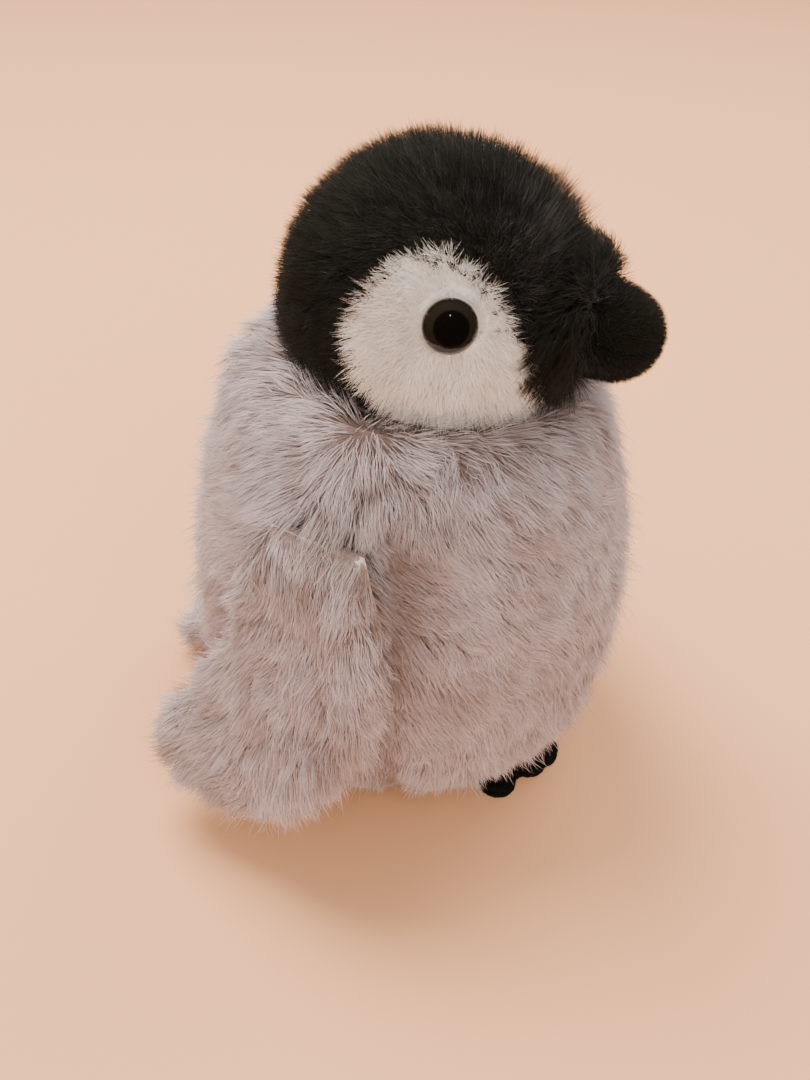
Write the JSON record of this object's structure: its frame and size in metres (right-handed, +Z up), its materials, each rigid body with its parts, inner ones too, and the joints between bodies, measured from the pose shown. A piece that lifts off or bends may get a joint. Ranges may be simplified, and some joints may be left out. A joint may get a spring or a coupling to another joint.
{
  "type": "plush penguin",
  "caption": "Seated plush penguin chick with a round turning head, safety eyes, two hanging flippers, a stub tail and flat felt feet.",
  "frame": {"origin": "centre of the flat base panel's underside, on the floor", "axes": "+Z up, the bird faces -Y, its right side is -X"},
  "size_m": [0.1474, 0.1282, 0.1745],
  "materials": {
    "grey_pile": "long brushed pile, mauve-grey",
    "base_cloth": "short mauve-grey velboa",
    "white_pile": "short warm white pile",
    "black_pile": "short black pile",
    "beak_velour": "very short black velour",
    "black_felt": "thin black felt",
    "eye_gloss": "polished, black pupil with a dark olive-brown ring",
    "washer_plastic": "moulded, natural",
    "stiffener": "needle-punched stiffener",
    "pellet_plastic": "loose pellets",
    "bag_cotton": "plain cotton",
    "fibre_fill": "polyester fibre fill",
    "thread": "polyester sewing thread"
  },
  "bodies": {
    "body": {"body_back_panel_left": "grey_pile", "body_back_panel_right": "grey_pile", "body_base_panel": "base_cloth", "body_front_panel": "grey_pile", "body_stuffing": "fibre_fill", "closing_stitches": "thread", "neck_thread": "thread", "pellet_bag": "bag_cotton", "pellets": "pellet_plastic"},
    "neck": {"neck_stuffing": "fibre_fill"},
    "head": {"beak_lower": "beak_velour", "beak_stuffing": "fibre_fill", "beak_upper": "beak_velour", "cheek_patch_left": "white_pile", "cheek_patch_right": "white_pile", "chin_panel": "white_pile", "crown_gusset": "black_pile", "eye_left": "eye_gloss", "eye_right": "eye_gloss", "eye_washer_left": "washer_plastic", "eye_washer_right": "washer_plastic", "head_side_panel_left": "black_pile", "head_side_panel_right": "black_pile", "head_stuffing": "fibre_fill", "muzzle_collar": "black_pile"},
    "flipper_right": {"flipper_inner_right": "grey_pile", "flipper_outer_right": "grey_pile", "flipper_wadding_right": "fibre_fill"},
    "flipper_left": {"flipper_inner_left": "grey_pile", "flipper_outer_left": "grey_pile", "flipper_wadding_left": "fibre_fill"},
    "foot_right": {"foot_sole_right": "black_felt", "foot_stiffener_right": "stiffener", "foot_upper_right": "black_felt"},
    "foot_left": {"foot_sole_left": "black_felt", "foot_stiffener_left": "stiffener", "foot_upper_left": "black_felt"},
    "tail": {"tail_lower": "grey_pile", "tail_stuffing": "fibre_fill", "tail_upper": "grey_pile"}
  },
  "joints": [
    {"name": "neck_turn", "type": "hinge", "parent": "body", "child": "neck", "pos_m": [0, -0.003, 0.1385], "axis": [0, 0, 1], "range_deg": [-20, 20], "stiffness_Nm_per_rad": 0.06},
    {"name": "neck_nod", "type": "hinge", "parent": "neck", "child": "head", "pos_m": [0, -0.003, 0.1385], "axis": [1, 0, 0], "range_deg": [-8, 8], "stiffness_Nm_per_rad": 0.06},
    {"name": "flipper_right_lift", "type": "hinge", "parent": "body", "child": "flipper_right", "pos_m": [-0.0552, 0.003, 0.102], "axis": [0.2079, 0.9781, 0], "range_deg": [0, 75]},
    {"name": "foot_right_flex", "type": "hinge", "parent": "body", "child": "foot_right", "pos_m": [-0.0127, -0.03687, 0.0016], "axis": [-0.9455, 0.3256, 0], "range_deg": [0, 20]},
    {"name": "flipper_left_lift", "type": "hinge", "parent": "body", "child": "flipper_left", "pos_m": [0.0552, 0.003, 0.102], "axis": [0.2079, -0.9781, 0], "range_deg": [0, 75]},
    {"name": "foot_left_flex", "type": "hinge", "parent": "body", "child": "foot_left", "pos_m": [0.0127, -0.03687, 0.0016], "axis": [-0.9455, -0.3256, 0], "range_deg": [0, 20]},
    {"name": "tail_flex", "type": "hinge", "parent": "body", "child": "tail", "pos_m": [0, 0.0536, 0.0125], "axis": [1, 0, 0], "range_deg": [0, 30]}
  ]
}
